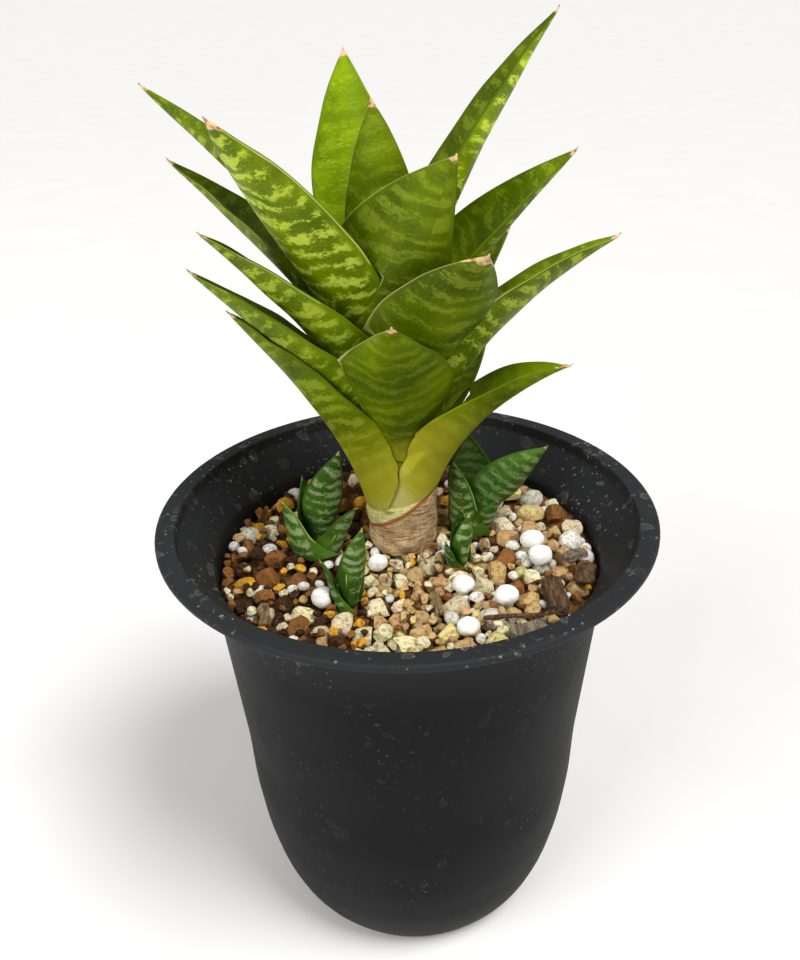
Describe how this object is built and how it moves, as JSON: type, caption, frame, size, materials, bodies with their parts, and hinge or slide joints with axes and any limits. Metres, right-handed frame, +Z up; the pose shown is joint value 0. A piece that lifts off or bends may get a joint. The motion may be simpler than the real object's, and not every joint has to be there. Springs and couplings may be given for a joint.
{
  "type": "potted snake plant",
  "caption": "Small snake plant with a spreading rosette of stiff banded leaves and young offsets, in coarse grit in a round black nursery pot with drainage notches.",
  "frame": {"origin": "centre of the pot's underside, on the surface that the pot stands on", "axes": "+Z up along the pot's axis, -Y towards the front of the plant, +X to its right"},
  "size_m": [0.12, 0.12, 0.2252],
  "materials": {
    "pot": "satin black polypropylene with dried water spots",
    "grit": "coarse grit: baked clay, pumice and zeolite grains, 3 to 6 mm",
    "stem": "pale yellow-green living tissue",
    "dry_sheath": "dry papery fibre",
    "leaf": "waxy leaf, yellow-green with paler broken cross bands",
    "offset_leaf": "waxy leaf, deep green with whitish bands",
    "pumice": "matt white pumice",
    "bark": "rough dark bark",
    "dry_leaf": "dry leaf litter",
    "root": "pale thin root"
  },
  "bodies": {
    "root": {"pot": "pot", "potting_mix": "grit", "stem": "stem", "basal_sheath": "dry_sheath", "leaf_01": "leaf", "leaf_02": "leaf", "leaf_03": "leaf", "leaf_04": "leaf", "leaf_05": "leaf", "leaf_06": "leaf", "leaf_07": "leaf", "leaf_08": "leaf", "leaf_09": "leaf", "leaf_10": "leaf", "leaf_11": "leaf", "leaf_12": "leaf", "leaf_13": "leaf", "leaf_14": "leaf", "leaf_15": "leaf", "leaf_16": "leaf", "leaf_17": "leaf", "leaf_18": "leaf", "leaf_19": "leaf", "leaf_20": "leaf", "offset_left_leaf_01": "offset_leaf", "offset_left_leaf_02": "offset_leaf", "offset_left_leaf_03": "offset_leaf", "offset_left_leaf_04": "offset_leaf", "offset_left_leaf_05": "offset_leaf", "offset_front_leaf_01": "offset_leaf", "offset_front_leaf_02": "offset_leaf", "offset_front_leaf_03": "offset_leaf", "offset_right_leaf_01": "offset_leaf", "offset_right_leaf_02": "offset_leaf", "offset_right_leaf_03": "offset_leaf", "offset_right_leaf_04": "offset_leaf", "offset_small_leaf_01": "offset_leaf", "offset_small_leaf_02": "offset_leaf", "offset_small_leaf_03": "offset_leaf", "pumice_1": "pumice", "pumice_2": "pumice", "pumice_3": "pumice", "pumice_4": "pumice", "pumice_5": "pumice", "pumice_6": "pumice", "pumice_7": "pumice", "bark_chip_long": "bark", "bark_chip_flat": "bark", "bark_chip_grey": "bark", "twig": "bark", "dry_scrap_right": "dry_leaf", "dry_scrap_left": "dry_leaf", "dry_scrap_curled": "dry_leaf", "aerial_root": "root"}
  },
  "joints": []
}
